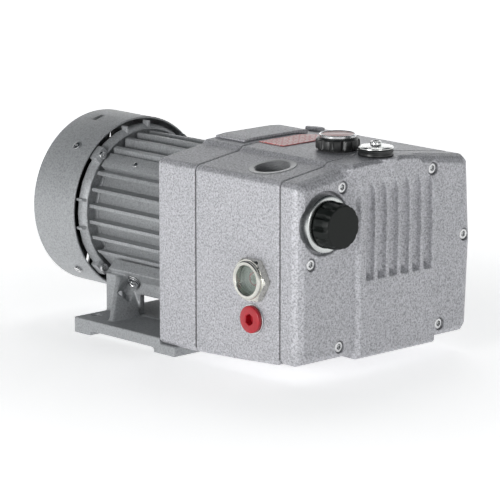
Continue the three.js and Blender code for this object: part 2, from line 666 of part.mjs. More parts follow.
function regulatorKnob() {
  const { back: low, face: high } = KNOB;
  const waist = prism("x", lobedOutline(20.4, 1.9, 12, 4), low + 3, high - 5);
  const nose = prism("x", lobedOutline(19, 1.5, 12, 4), high - 5.2, high);
  const base = rod("x", [0, 0, 0], 18.4, low, low + 4);
  const stem = rod("x", [0, 0, 0], 3.8, 102, low + 1, 10);
  return join(base, waist, nose, stem).translate([0, KNOB.y, KNOB.z]);
}

// Points on the top line between two places in y, raised by lift.
function onTop([from, to], lift) {
  const corners = TOP_LINE.map(([y]) => y).filter((y) => y > from && y < to);
  return [from, ...corners, to].map((y) => [y, topAt(y) + lift]);
}

function topCoverPlate() {
  const [near, far] = [-37, 42];
  const crown = TOP_LINE[5][1] + 2.8;
  const dome = [[far, crown - 1], [far - 12, crown], [near + 12, crown], [near, crown - 1]];
  return prism("x", [...onTop([near, far], GAP), ...dome], -45, -7);
}

// ---- Assembly -----------------------------------------------------------------------------------------
const pump = new THREE.Group();
pump.position.set(-(COWL.back + KNOB.face) / 2, 0, 0);

function add(name, body, finish) {
  const mesh = new THREE.Mesh(geometryOf(body), new THREE.MeshStandardMaterial(FINISHES[finish]));
  mesh.name = name;
  pump.add(mesh);
}

add("fan_cowl", fanCowl(), "paint");
add("cooling_fan", coolingFan(), "blackPlastic");
add("motor_end_shield", motorEndShield(), "paint");
add("motor_housing", motorHousing(), "paint");
add("stator", statorWithWindings(), "lamination");
add("motor_rotor", ring("x", onShaft(), 11.3, 34.4, -150, -80, 20), "lamination");
add("drive_shaft", driveShaft(), "steel");
add("rear_bearing", ring("x", onShaft(), 10.3, 20, -190, -183), "steel");
add("front_bearing", ring("x", onShaft(), 10.3, 21, -33, -22), "steel");
add("shaft_seal", ring("x", onShaft(), 10.4, 23.6, 1.6, 7.4), "rubber");
add("foot_bracket", footBracket(), "paint");
add("motor_flange_housing", motorFlangeHousing(), "paint");
add("flange_gasket", gasketBetween(0, UNDERSIDE.motor), "fibre");
add("oil_casing", oilCasing(), "paint");
const ballastPad = rod("z", [BALLAST.x, BALLAST.y, 0], 21, 160, 200);
add("cover_gasket", cut(gasketBetween(COVER_SEAM, COVER_BOTTOM - 0.4), ballastPad), "fibre");
add("front_cover", frontCover(), "paint");

add("rear_end_plate", endPlate(9, CYLINDER.back - GAP), "castIron");
add("pump_cylinder", pumpCylinder(), "castIron");
add("front_end_plate", endPlate(CYLINDER.front + GAP, 103), "castIron");
add("pump_rotor", pumpRotor(), "castIron");
VANE_ANGLES.forEach((angle, k) => add(`vane_${k + 1}`, vane(angle), "carbon"));
add("exhaust_valve_flap", atValve(box(32, 80, -7.7, 8, 50.8, 51.6)), "steel");
add("exhaust_valve_stop", exhaustValveStop(), "steel");
add("separator_cartridge", separatorCartridge(), "filter");

add("suction_strainer", suctionStrainer(), "steel");
add("nonreturn_disc", atPort(rod("z", [0, 0, 0], 12, -24.4, -22.4)), "rubber");
add("nonreturn_spring", compressionSpring(atPort, 6, 0.6, -41, -25.4, 4), "steel");

add("sight_glass_nut", sightGlassNut(), "nickel");
add("sight_glass_lens", rod("y", [GLASS.x, 0, GLASS.z], 14.4, NEAR - 4.6, NEAR + 0.5), "glass");
add("drain_seal", ring("y", [DRAIN.x, 0, DRAIN.z], 10.35, 13.6, NEAR - 1.6, NEAR - GAP), "steel");
add("drain_plug", drainPlug(), "redPaint");
add("filler_seal", ring("z", [FILLER.x, FILLER.y, 0], 12.1, 17.4, FILLER.z + 0.2, FILLER.z + 1.3), "rubber");
add("filler_cap", fillerCap(), "blackPlastic");
add("filler_cap_disc", rod("z", [FILLER.x, FILLER.y, 0], 14.8, FILLER.z + 14.3, FILLER.z + 15), "label");
add("ballast_ring", ballastRing(), "blackPlastic");
add("ballast_plate", ballastPlate(), "steel");
add("knob_seat", knobSeat(), "steel");
add("regulator_knob", regulatorKnob(), "blackPlastic");
add("regulator_plunger", ring("x", [0, KNOB.y, KNOB.z], 4.2, 9, 104, 110, 16), "steel");
const alongKnob = (body) => body.rotate([0, 90, 0]).translate([0, KNOB.y, KNOB.z]);
add("regulator_spring", compressionSpring(alongKnob, 6.6, 0.7, 111.2, 125, 4), "steel");
add("top_cover_plate", topCoverPlate(), "paint");
const labelSection = [...onTop(LABEL, GAP), ...onTop(LABEL, GAP + 0.6).reverse()];
add("label_plate", prism("x", labelSection, 1.5, 33), "label");
add("blanking_plug", tiltX(rod("z", [-32, 75, 183.8], 9, 0, 3, 16), -7.5, 75, 183.8), "paint");

COVER_SCREWS.forEach(([dy, z], k) => {
  const screw = capScrew(5, 5, 3, 12, 4.6).rotate([0, 90, 0]);
  add(`cover_screw_${k + 1}`, screw.translate([COVER_FACE - 6.2, COVER_MID + dy, z]), "steel");
});
QUARTERS.forEach((angle, k) => {
  const screw = capScrew(4, 2.6, 2.2, 7, 2.5, 12).translate([-211, 0, SHAFT_Z + COWL.r + 0.2]);
  add(`cowl_screw_${k + 1}`, tiltX(screw, angle, 0, SHAFT_Z), "steel");
});
[135, 225].forEach((angle, k) => {
  const seat = SHAFT_Z + MOTOR.pad + 2 * GAP + FOOT.pad - 0.5;
  const screw = capScrew(6, 6, 3.2, 9, 5).translate([FOOT.screwX, 0, seat]);
  add(`foot_screw_${k + 1}`, tiltX(screw, angle, 0, SHAFT_Z), "steel");
});
RUBBER_FEET.forEach((y, k) => {
  add(`rubber_foot_${k + 1}`, rod("z", [RUBBER_FOOT_X, y, 0], 12, 0, 12.3), "rubber");
});

export default pump;
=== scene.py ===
import json
import math

import bmesh
import bpy
from mathutils import Matrix, Vector

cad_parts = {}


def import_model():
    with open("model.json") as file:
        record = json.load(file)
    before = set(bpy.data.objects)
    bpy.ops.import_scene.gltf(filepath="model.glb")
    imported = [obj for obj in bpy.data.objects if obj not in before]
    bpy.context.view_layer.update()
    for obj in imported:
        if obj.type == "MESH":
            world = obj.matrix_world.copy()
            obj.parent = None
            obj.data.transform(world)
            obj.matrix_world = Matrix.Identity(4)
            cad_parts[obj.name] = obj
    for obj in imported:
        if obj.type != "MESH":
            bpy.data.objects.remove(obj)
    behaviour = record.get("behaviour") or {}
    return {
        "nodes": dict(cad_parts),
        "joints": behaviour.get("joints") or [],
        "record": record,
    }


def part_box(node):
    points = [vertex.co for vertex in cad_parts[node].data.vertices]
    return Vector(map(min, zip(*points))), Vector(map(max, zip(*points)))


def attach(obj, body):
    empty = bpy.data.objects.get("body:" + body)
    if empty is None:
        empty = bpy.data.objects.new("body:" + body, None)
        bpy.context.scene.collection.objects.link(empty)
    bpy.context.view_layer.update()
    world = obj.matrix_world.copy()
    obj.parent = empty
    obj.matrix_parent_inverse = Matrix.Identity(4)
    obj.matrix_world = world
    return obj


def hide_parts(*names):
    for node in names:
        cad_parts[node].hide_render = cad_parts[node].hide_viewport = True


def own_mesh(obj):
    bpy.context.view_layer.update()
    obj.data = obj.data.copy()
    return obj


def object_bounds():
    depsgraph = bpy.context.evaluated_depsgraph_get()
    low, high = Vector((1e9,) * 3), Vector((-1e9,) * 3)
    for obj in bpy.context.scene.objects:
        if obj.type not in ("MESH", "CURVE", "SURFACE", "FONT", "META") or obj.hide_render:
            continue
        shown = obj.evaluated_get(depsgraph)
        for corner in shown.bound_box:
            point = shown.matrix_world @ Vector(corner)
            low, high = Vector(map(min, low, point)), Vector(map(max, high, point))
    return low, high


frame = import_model()
CAD_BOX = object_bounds()
NODES = frame["nodes"]
MM = 0.001
TAU = 2 * math.pi
LOBES = 12
X, Y, Z = Vector((1, 0, 0)), Vector((0, 1, 0)), Vector((0, 0, 1))


# ---- Camera, lights and floor -------------------------------------------------------------------------
AZIMUTH, ELEVATION = 46.7, 12.0
CAMERA_PLACE = (2.2718, -2.1328, 0.7424)
SENSOR_WIDTH, FOCAL_LENGTH = 36, 252


def camera():
    data = bpy.data.cameras.new("camera")
    data.sensor_width = SENSOR_WIDTH
    data.lens = FOCAL_LENGTH
    made = bpy.data.objects.new("camera", data)
    made.location = CAMERA_PLACE
    made.rotation_euler = (math.radians(90 - ELEVATION), 0, math.radians(AZIMUTH))
    bpy.context.scene.collection.objects.link(made)
    bpy.context.scene.camera = made


def area_light(name, place, target, size, power):
    data = bpy.data.lights.new(name, "AREA")
    data.shape = "DISK"
    data.size = size
    data.energy = power
    made = bpy.data.objects.new(name, data)
    made.location = place
    made.rotation_euler = (Vector(target) - Vector(place)).to_track_quat("-Z", "Y").to_euler()
    bpy.context.scene.collection.objects.link(made)


def world():
    """A pale room: bright near the horizon, where the walls are, and darker overhead."""
    made = bpy.data.worlds.new("studio")
    made.use_nodes = True
    nodes, links = made.node_tree.nodes, made.node_tree.links
    nodes.clear()
    place = nodes.new("ShaderNodeTexCoord")
    split = nodes.new("ShaderNodeSeparateXYZ")
    sky = nodes.new("ShaderNodeBackground")
    out = nodes.new("ShaderNodeOutputWorld")
    links.new(place.outputs["Generated"], split.inputs[0])
    walls, above, overhead = (1, 1, 1), (0.34, 0.355, 0.365), (0.02, 0.026, 0.03)
    height = split.outputs["Z"]
    links.new(ramp(nodes, links, height, (0, walls), (0.22, above), (0.6, overhead)), sky.inputs["Color"])
    sky.inputs["Strength"].default_value = 1.0
    links.new(sky.outputs[0], out.inputs[0])
    bpy.context.scene.world = made


def floor():
    """A pale sweep: flat under the pump, rising behind it. Its paper glows, and glows less within reach of
    the pump, a painted shade round the pump.
    """
    half, rise, radius, steps = 6.0, 4.0, 1.5, 12
    # The glow near the pump is the dimmer one: painted shade round the pump.
    shaded_glow_near, glow_far = 0.52, 0.84
    reach_near, reach_far = 0.12, 0.6
    away = Matrix.Rotation(math.radians(AZIMUTH), 3, "Z") @ Y
    side = Matrix.Rotation(math.radians(AZIMUTH), 3, "Z") @ X
    line = [(-half, 0.0), (half - radius, 0.0)]
    for k in range(1, steps + 1):
        angle = math.pi / 2 * k / steps
        line.append((half - radius + radius * math.sin(angle), radius * (1 - math.cos(angle))))
    line.append((half, rise))
    verts = [away * d + side * s + Z * h for s in (-half, half) for d, h in line]
    count = len(line)
    faces = [(k, k + 1, count + k + 1, count + k) for k in range(count - 1)]
    mesh = bpy.data.meshes.new("floor")
    mesh.from_pydata(verts, [], faces)
    mesh.polygons.foreach_set("use_smooth", [True] * len(faces))
    made = bpy.data.objects.new("floor", mesh)
    bpy.context.scene.collection.objects.link(made)
    paper = plain("floor_paper", (0.93, 0.93, 0.93), 0.9, 0, 60, 0.01, 0, specular=0.1)
    # The glow keeps the paper white. Its fall near the pump is painted shade: it darkens the paper round the
    # pump along with the soft shadow.
    nodes, links = paper.node_tree.nodes, paper.node_tree.links
    surface = nodes["Principled BSDF"]
    surface.inputs["Emission Color"].default_value = (1, 1, 1, 1)
    distance = length_of(nodes, links, coordinates(nodes))
    glow = spread(nodes, links, distance, shaded_glow_near, glow_far, reach_near, reach_far)
    links.new(glow, surface.inputs["Emission Strength"])
    made.data.materials.append(paper)


# ---- Materials ----------------------------------------------------------------------------------------
def shader(name):
    made = bpy.data.materials.new(name)
    made.use_nodes = True
    nodes, links = made.node_tree.nodes, made.node_tree.links
    return made, nodes, links, nodes["Principled BSDF"]


def coordinates(nodes):
    return nodes.new("ShaderNodeTexCoord").outputs["Object"]


def noise(nodes, links, place, scale, detail=2.0, roughness=0.5, distortion=0.0):
    made = nodes.new("ShaderNodeTexNoise")
    links.new(place, made.inputs["Vector"])
    made.inputs["Scale"].default_value = scale
    made.inputs["Detail"].default_value = detail
    made.inputs["Roughness"].default_value = roughness
    made.inputs["Distortion"].default_value = distortion
    return made.outputs["Fac"]


def ramp(nodes, links, value, *stops):
    """A colour ramp through (position, colour) stops."""
    made = nodes.new("ShaderNodeValToRGB")
    links.new(value, made.inputs[0])
    marks = made.color_ramp.elements
    while len(marks) < len(stops):
        marks.new(0.5)
    for mark, (position, colour) in zip(marks, stops):
        mark.position = position
        mark.color = (*colour, 1)
    return made.outputs[0]


def length_of(nodes, links, vector):
    made = nodes.new("ShaderNodeVectorMath")
    made.operation = "LENGTH"
    links.new(vector, made.inputs[0])
    return made.outputs["Value"]


def spread(nodes, links, value, low, high, start=0.0, end=1.0):
    """A value from start..end carried to low..high."""
    made = nodes.new("ShaderNodeMapRange")
    links.new(value, made.inputs["Value"])
    made.inputs["From Min"].default_value = start
    made.inputs["From Max"].default_value = end
    made.inputs["To Min"].default_value = low
    made.inputs["To Max"].default_value = high
    return made.outputs["Result"]


def bump(nodes, links, height, distance, below=None):
    """A normal bumped by height over distance, on top of the normal below."""
    made = nodes.new("ShaderNodeBump")
    made.inputs["Distance"].default_value = distance
    made.inputs["Strength"].default_value = 1.0
    links.new(height, made.inputs["Height"])
    if below is not None:
        links.new(below, made.inputs["Normal"])
    return made.outputs["Normal"]


def plain(name, colour, rough, metallic, scale, vary, depth, coat=0.0, specular=0.5):
    """A finish with fine mottling.

    Colour and roughness vary by the share vary, over spots of 1 / scale, and depth is the bump's height.
    """
    made, nodes, links, surface = shader(name)
    place = coordinates(nodes)
    cloud = noise(nodes, links, place, scale, 4, 0.6)
    dark = [c * (1 - vary) for c in colour]
    light = [min(1, c * (1 + vary)) for c in colour]
    links.new(ramp(nodes, links, cloud, (0.3, dark), (0.7, light)), surface.inputs["Base Color"])
    dull = spread(nodes, links, cloud, rough * (1 - vary), rough * (1 + vary))
    links.new(dull, surface.inputs["Roughness"])
    surface.inputs["Metallic"].default_value = metallic
    surface.inputs["Coat Weight"].default_value = coat
    surface.inputs["Specular IOR Level"].default_value = specular
    if depth:
        grain = noise(nodes, links, place, scale * 2.5, 2)
        links.new(bump(nodes, links, grain, depth), surface.inputs["Normal"])
    return made


def hammertone(name, colour, depth=0.00016, contrast=1.0):
    """Silver hammered paint: soft dimples about 2 mm across over a metallic ground, with painted shade in
    their hollows and painted highlight on their crests.
    """
    made, nodes, links, surface = shader(name)
    place = coordinates(nodes)
    dimples = noise(nodes, links, place, 640, 1.5, 0.45, 0.6)
    specks = noise(nodes, links, place, 1500, 2)
    drift = noise(nodes, links, place, 14, 3)
    # The hollows are painted darker and the crests lighter, following the bump: painted shade and painted
    # highlight.
    shaded_hollow = [c * (1 - 0.34 * contrast) for c in colour]
    lit_crest = [c * (1 + 0.25 * contrast) for c in colour]
    shade = ramp(nodes, links, dimples, (0.34, shaded_hollow), (0.5, colour), (0.66, lit_crest))
    # On a colour Mix node, inputs 6 and 7 are the two colours and output 2 is the mixed one.
    tint = nodes.new("ShaderNodeMix")
    tint.data_type = "RGBA"
    tint.blend_type = "MULTIPLY"
    tint.inputs[0].default_value = 0.35
    links.new(shade, tint.inputs[6])
    links.new(ramp(nodes, links, drift, (0.3, (0.86, 0.87, 0.87)), (0.7, (1, 1, 1))), tint.inputs[7])
    links.new(tint.outputs[2], surface.inputs["Base Color"])
    surface.inputs["Metallic"].default_value = 0.2
    surface.inputs["Specular IOR Level"].default_value = 0.3
    links.new(spread(nodes, links, specks, 0.36, 0.52), surface.inputs["Roughness"])
    coarse = bump(nodes, links, dimples, depth)
    links.new(bump(nodes, links, specks, depth * 0.12, coarse), surface.inputs["Normal"])
    return made


def machined(name, colour, rough, direction, centre):
    """Turned metal: fine rings round a line through centre."""
    made, nodes, links, surface = shader(name)
    place = coordinates(nodes)
    shift = nodes.new("ShaderNodeVectorMath")
    shift.operation = "SUBTRACT"
    links.new(place, shift.inputs[0])
    shift.inputs[1].default_value = centre
    flat = nodes.new("ShaderNodeVectorMath")
    flat.operation = "MULTIPLY"
    links.new(shift.outputs[0], flat.inputs[0])
    flat.inputs[1].default_value = [1 - abs(c) for c in direction]
    rings = nodes.new("ShaderNodeTexNoise")
    rings.noise_dimensions = "1D"
    rings.inputs["Scale"].default_value = 3500
    rings.inputs["Detail"].default_value = 2
    links.new(length_of(nodes, links, flat.outputs[0]), rings.inputs["W"])
    stain = noise(nodes, links, place, 90, 4, 0.6)
    links.new(ramp(nodes, links, stain, (0.3, [c * 0.86 for c in colour]), (0.7, colour)),
              surface.inputs["Base Color"])
    dull = spread(nodes, links, rings.outputs["Fac"], rough * 0.75, rough * 1.3)
    links.new(dull, surface.inputs["Roughness"])
    surface.inputs["Metallic"].default_value = 1
    links.new(bump(nodes, links, rings.outputs["Fac"], 0.00001), surface.inputs["Normal"])
    return made


def printed_label(name):
    """Red foil with pale bars in rows, in place of any lettering."""
    made, nodes, links, surface = shader(name)
    place = coordinates(nodes)
    turn = nodes.new("ShaderNodeMapping")
    turn.inputs["Rotation"].default_value = (0, 0, math.pi / 2)
    links.new(place, turn.inputs["Vector"])
    rows = nodes.new("ShaderNodeTexBrick")
    links.new(turn.outputs[0], rows.inputs["Vector"])
    rows.offset_frequency = 2
    rows.squash_frequency = 3
    rows.squash = 0.6
    rows.inputs["Scale"].default_value = 90
    rows.inputs["Color1"].default_value = (0.9, 0.8, 0.78, 1)
    rows.inputs["Color2"].default_value = (0.8, 0.5, 0.48, 1)
    rows.inputs["Mortar"].default_value = (0.72, 0.15, 0.14, 1)
    rows.inputs["Mortar Size"].default_value = 0.1
    rows.inputs["Brick Width"].default_value = 0.62
    rows.inputs["Row Height"].default_value = 0.3
    links.new(rows.outputs["Color"], surface.inputs["Base Color"])
    surface.inputs["Roughness"].default_value = 0.38
    scuffs = noise(nodes, links, place, 400, 3)
    links.new(bump(nodes, links, scuffs, 0.00002), surface.inputs["Normal"])
    return made


def lens_glass(name):
    made, nodes, links, surface = shader(name)
    place = coordinates(nodes)
    film = noise(nodes, links, place, 120, 3)
    links.new(ramp(nodes, links, film, (0.35, (0.62, 0.72, 0.66)), (0.7, (0.85, 0.93, 0.9))),
              surface.inputs["Base Color"])
    links.new(spread(nodes, links, film, 0.03, 0.1), surface.inputs["Roughness"])
    surface.inputs["Transmission Weight"].default_value = 0.85
    surface.inputs["IOR"].default_value = 1.5
    return made


def middle_of(node):
    low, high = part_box(node)
    return (low + high) / 2


PAINT = hammertone("hammertone_paint", (0.465, 0.465, 0.49))
MOTOR_PAINT = hammertone("motor_paint", (0.365, 0.375, 0.385), 0.00007, 0.6)
BLACK = plain("black_plastic", (0.016, 0.017, 0.017), 0.34, 0, 700, 0.2, 0.00001)
RUBBER = plain("rubber", (0.02, 0.02, 0.021), 0.75, 0, 400, 0.25, 0.00003)
FIBRE = plain("gasket_fibre", (0.035, 0.034, 0.032), 0.9, 0, 900, 0.3, 0.00005)
RED = plain("red_paint", (0.42, 0.006, 0.016), 0.3, 0.1, 300, 0.14, 0.00001, coat=0.4)
IRON = plain("ground_iron", (0.17, 0.17, 0.175), 0.45, 0.9, 500, 0.25, 0.00002)
STEEL = plain("bright_steel", (0.66, 0.665, 0.67), 0.25, 1, 420, 0.14, 0.00001)
NICKEL = plain("nickel_plate", (0.66, 0.655, 0.61), 0.2, 1, 260, 0.12, 0.000008)
WINDING = plain("laminated_core", (0.28, 0.22, 0.17), 0.5, 0.6, 800, 0.35, 0.00006)
CARBON = plain("carbon_vane", (0.03, 0.03, 0.032), 0.5, 0, 900, 0.3, 0.00002)
FILTER = plain("filter_wrap", (0.62, 0.58, 0.48), 0.95, 0, 600, 0.2, 0.0001)
KNOB_BLACK = plain("knob_black", (0.0075, 0.0095, 0.0085), 0.42, 0, 900, 0.2, 0.00001, specular=0.2)
DISC_RED = plain("printed_disc", (0.46, 0.13, 0.12), 0.35, 0, 260, 0.28, 0.00001, coat=0.3)
SIGHT_BACK = plain("sight_cup", (0.5, 0.52, 0.46), 0.6, 0, 120, 0.15, 0.00002)
PORT_STEEL = plain("machined_face", (0.4, 0.405, 0.41), 0.42, 0.6, 700, 0.16, 0.00002)
# Near-black finish for a piece set in a shallow hollow: painted shade that stands in for the hole's depth.
PAINTED_SHADE_BORE = plain("painted_shade_bore", (0.012, 0.012, 0.012), 0.6, 0.2, 300, 0.2, 0.00002)
LABEL = printed_label("label_foil")
GLASS = lens_glass("sight_glass")
SEAT_STEEL = machined("turned_seat", (0.64, 0.66, 0.65), 0.26, X, middle_of("knob_seat"))
PLATE_STEEL = machined("turned_plate", (0.66, 0.67, 0.66), 0.22, Z, middle_of("ballast_plate"))
SLOT_FINISH = {
    "paint": PAINT, "cast_iron": IRON, "steel": STEEL, "nickel": NICKEL, "black_plastic": BLACK,
    "red_paint": RED, "fibre": FIBRE, "rubber": RUBBER, "glass": GLASS, "lamination": WINDING,
    "carbon": CARBON, "filter": FILTER, "label": LABEL,
}
SLOT_OF = {part["node"]: part["material_slot"] for part in frame["record"]["subparts"]}
NODE_FINISH = {
    "fan_cowl": MOTOR_PAINT, "motor_end_shield": MOTOR_PAINT, "motor_housing": MOTOR_PAINT,
    "foot_bracket": MOTOR_PAINT, "knob_seat": SEAT_STEEL, "ballast_plate": PLATE_STEEL,
}
BODY_OF = {node: body for body, members in frame["record"]["behaviour"]["bodies"].items() for node in members}


def finish_of(node):
    return NODE_FINISH.get(node, SLOT_FINISH[SLOT_OF[node]])


# ---- Making pieces ------------------------------------------------------------------------------------
def place(name, mesh, finish, body, slot, replaced=(), crease=40):
    """Adds a mesh as a piece that rides on a body and stands for the replaced nodes."""
    mesh.materials.clear()
    mesh.materials.append(finish)
    mesh.polygons.foreach_set("use_smooth", [True] * len(mesh.polygons))
    mesh.set_sharp_from_angle(angle=math.radians(crease))
    made = bpy.data.objects.new(name, mesh)
    bpy.context.scene.collection.objects.link(made)
    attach(made, body)
    if replaced:
        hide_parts(*replaced)
    return made


def stand_in(name, node, mesh, finish, crease=40):
    """Adds a mesh as the piece that stands for one node, on that node's body."""
    return place(name, mesh, finish, BODY_OF[node], SLOT_OF[node], [node], crease)


def applied(mesh, *settings):
    """A new mesh: mesh with modifiers applied, each given as (kind, {setting: value})."""
    holder = bpy.data.objects.new("work", mesh)
    bpy.context.scene.collection.objects.link(holder)
    for kind, values in settings:
        modifier = holder.modifiers.new(kind, kind)
        for key, value in values.items():
            setattr(modifier, key, value)
    ready = holder.evaluated_get(bpy.context.evaluated_depsgraph_get())
    made = bpy.data.meshes.new_from_object(ready)
    bpy.data.objects.remove(holder)
    return made


def cleaned(node):
    """The node's mesh with its doubled points merged and its flat faces joined."""
    mesh = NODES[node].data.copy()
    work = bmesh.new()
    work.from_mesh(mesh)
    bmesh.ops.remove_doubles(work, verts=work.verts, dist=0.02 * MM)
    bmesh.ops.dissolve_limit(work, angle_limit=math.radians(1), verts=work.verts, edges=work.edges)
    work.to_mesh(mesh)
    work.free()
    return mesh


def bevelled(node, width):
    """The node with its edges rounded to a width in mm."""
    mesh = applied(cleaned(node), ("BEVEL", {
        "width": width * MM, "segments": 2, "limit_method": "ANGLE",
        "angle_limit": math.radians(32), "use_clamp_overlap": True}))
    stand_in(node + "_body", node, mesh, finish_of(node))


def cast(node, voxel=1.1, smooth=4, keep=0.35):
    """The node as a casting: every edge and corner rounded, as poured metal is. The voxel size is in mm."""
    mesh = applied(
        NODES[node].data.copy(),
        ("REMESH", {"mode": "VOXEL", "voxel_size": voxel * MM}),
        ("SMOOTH", {"factor": 0.5, "iterations": smooth}),
        ("DECIMATE", {"ratio": keep}),
    )
    stand_in(node + "_casting", node, mesh, finish_of(node), 180)


def basis(direction):
    """Two unit vectors square to the direction."""
    axis = Vector(direction).normalized()
    first = Z.cross(axis)
    if first.length < 0.1:
        first = X.copy()
    first.normalize()
    return first, axis.cross(first)


def mesh_from(work, name):
    """A mesh with its faces turned outwards."""
    bmesh.ops.recalc_face_normals(work, faces=work.faces)
    mesh = bpy.data.meshes.new(name)
    work.to_mesh(mesh)
    work.free()
    return mesh


def spun(name, profile, centre, direction, segments, closed=False):
    """A turned mesh round a line through centre.

    Each profile point is (radius, height along the line), in mm. A radius may be a function of the angle.
    """
    first, second = basis(direction)
    axis = Vector(direction).normalized()
    work = bmesh.new()
    rings = []
    for radius, height in profile:
        base = Vector(centre) + axis * height * MM
        if radius == 0:
            rings.append([work.verts.new(base)])
            continue
        points = []
        for k in range(segments):
            angle = TAU * k / segments
            r = (radius(angle) if callable(radius) else radius) * MM
            points.append(work.verts.new(base + first * r * math.cos(angle) + second * r * math.sin(angle)))
        rings.append(points)
    pairs = list(zip(rings, rings[1:]))
    if closed:
        pairs.append((rings[-1], rings[0]))
    for below, above in pairs:
        for k in range(segments):
            n = (k + 1) % segments
            corners = [ring[m % len(ring)] for ring, m in ((below, k), (below, n), (above, n), (above, k))]
            unique = list(dict.fromkeys(corners))
            if len(unique) > 2:
                work.faces.new(unique)
    return mesh_from(work, name)


def hexagonal(across, limit=None):
    """Radius of a hexagon by angle, cut off at a round limit."""
    def radius(angle):
        turn = (angle + math.pi / 6) % (math.pi / 3) - math.pi / 6
        flat = across / 2 / math.cos(turn)
        return flat if limit is None else min(flat, limit)
    return radius


def lobed(r, depth):
    """Radius of a grip by angle, with rounded hollows between its lobes."""
    def radius(angle):
        shaded_hollow = max(0.0, math.cos(LOBES * angle)) ** 1.5
        return r - depth * shaded_hollow
    return radius


# ---- Places, taken from the frame where it has them ---------------------------------------------------
JOINTS = {joint["name"]: joint for joint in frame["joints"]}
SHAFT_Z = JOINTS["shaft_spin"]["pos_m"][2]
SHAFT = Vector((0, 0, SHAFT_Z))
COWL_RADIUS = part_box("fan_cowl")[1].y
CASING_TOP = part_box("oil_casing")[1].z
PORT_OUT = -Vector(JOINTS["nonreturn_lift"]["axis"])
# The suction strainer lies this far inside the socket's mouth.
STRAINER_DEPTH = 33.2 * MM
PORT_MOUTH = middle_of("suction_strainer") + PORT_OUT * STRAINER_DEPTH
EXHAUST_X, EXHAUST_Z = 87.5 * MM, 120 * MM

# The end shield's screws and the motor's plugs stand at these angles round the shaft. A seat is measured
# out from the shaft, except that a cover screw's head is measured back from the screw's end.
QUARTERS = (45, 135, 225, 315)
UPPER_QUARTERS = (45, 315)
COWL_SCREW_SEAT = COWL_RADIUS + 0.3 * MM
FOOT_SCREW_SEAT = 80.2 * MM
SHIELD_SCREW_SEAT = 74.7 * MM
EYEBOLT_SEAT = 69.3 * MM
COVER_SCREW_HEAD = 5 * MM
EYEBOLT_X = -92.5 * MM


def radial(angle):
    """Direction out from the shaft at an angle in degrees from the top towards -Y."""
    return Vector((0, -math.sin(math.radians(angle)), math.cos(math.radians(angle))))


def at_x(x):
    return Vector((x, 0, SHAFT_Z))


# ---- Screws -------------------------------------------------------------------------------------------
def cap_screw(name, seat, direction, head, height, socket, replaced=()):
    """A socket cap screw: its head stands on seat and its shank ends just below it."""
    edge = 0.12 * head
    top = height - 0.25
    shank = head * 0.55
    mouth = hexagonal(socket * 1.14, socket * 0.62)
    profile = [
        (0, -2.5), (shank, -2.5), (shank, 0), (head - edge, 0), (head, edge), (head, top - edge * 1.6),
        (head - edge * 0.5, top - edge * 0.4), (head - edge * 1.6, top), (mouth, top),
        (hexagonal(socket), top - 0.45), (hexagonal(socket), height * 0.4), (0, height * 0.35),
    ]
    place(name, spun(name, profile, seat, direction, segments=48), STEEL, "frame", "steel", replaced, 35)


def washer(name, seat, direction, inner, outer, thick):
    edge = thick * 0.25
    profile = [
        (inner, 0), (outer - edge, 0), (outer, edge), (outer, thick - edge), (outer - edge, thick),
        (inner, thick),
    ]
    place(name, spun(name, profile, seat, direction, segments=48, closed=True), STEEL, "frame", "steel")


def fasteners():
    """Every screw that the frame has, and the end shield's four, which it leaves out."""
    for node in NODES:
        middle = middle_of(node)
        line = at_x(middle.x)
        out = (middle - line).normalized()
        if node.startswith("cover_screw"):
            seat = Vector((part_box(node)[1].x - COVER_SCREW_HEAD, middle.y, middle.z))
            cap_screw(node + "_head", seat, X, 4.95, 4.95, 4.4, [node])
        elif node.startswith("cowl_screw"):
            cap_screw(node + "_head", line + out * COWL_SCREW_SEAT, out, 3.9, 2.4, 2.6, [node])
        elif node.startswith("foot_screw"):
            seat = line + out * FOOT_SCREW_SEAT
            washer(node + "_washer", seat, out, 3.4, 7.2, 1.2)
            washer(node + "_lock_washer", seat + out * 1.25 * MM, out, 3.4, 6.1, 1.1)
            cap_screw(node + "_head", seat + out * 2.4 * MM, out, 5.4, 3.4, 4.4, [node])
    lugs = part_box("motor_end_shield")[1].x
    for k, angle in enumerate(QUARTERS):
        seat = at_x(lugs) + radial(angle) * SHIELD_SCREW_SEAT
        cap_screw(f"shield_screw_{k + 1}", seat, X, 3.7, 3.2, 2.6)


# ---- Castings and sheet metal -------------------------------------------------------------------------
def castings():
    cast("oil_casing")
    cast("front_cover", voxel=0.8, keep=0.4)
    cast("motor_flange_housing")
    cast("top_cover_plate", voxel=0.6, smooth=3, keep=0.4)
    bevelled("blanking_plug", 0.5)


def motor():
    bevelled("motor_housing", 0.7)
    bevelled("motor_end_shield", 0.5)
    cast("foot_bracket", voxel=0.9)
    cowl()
    eyebolt_plugs()


def eyebolt_plugs():
    """Plugs of the eyebolt holes in the motor's upper flats."""
    profile = [(0, -0.8), (2.9, -0.8), (2.9, 0.7), (2.3, 1.2), (0, 1.3)]
    for k, angle in enumerate(UPPER_QUARTERS):
        seat = at_x(EYEBOLT_X) + radial(angle) * EYEBOLT_SEAT
        name = f"eyebolt_plug_{k + 1}"
        place(name, spun(name, profile, seat, radial(angle), segments=32), STEEL, "frame", "steel")


def box_into(work, x, reach, sizes, turn):
    """Adds a box to a mesh, in mm: its middle at x and reach, its sizes along x, across and outwards."""
    out = radial(turn)
    across = out.cross(X)
    length, width, depth = sizes
    made = bmesh.ops.create_cube(work, size=1)
    for vert in made["verts"]:
        corner = vert.co.copy()
        offset = X * corner.x * length + across * corner.y * width + out * (reach + corner.z * depth)
        vert.co = at_x(x * MM) + offset * MM


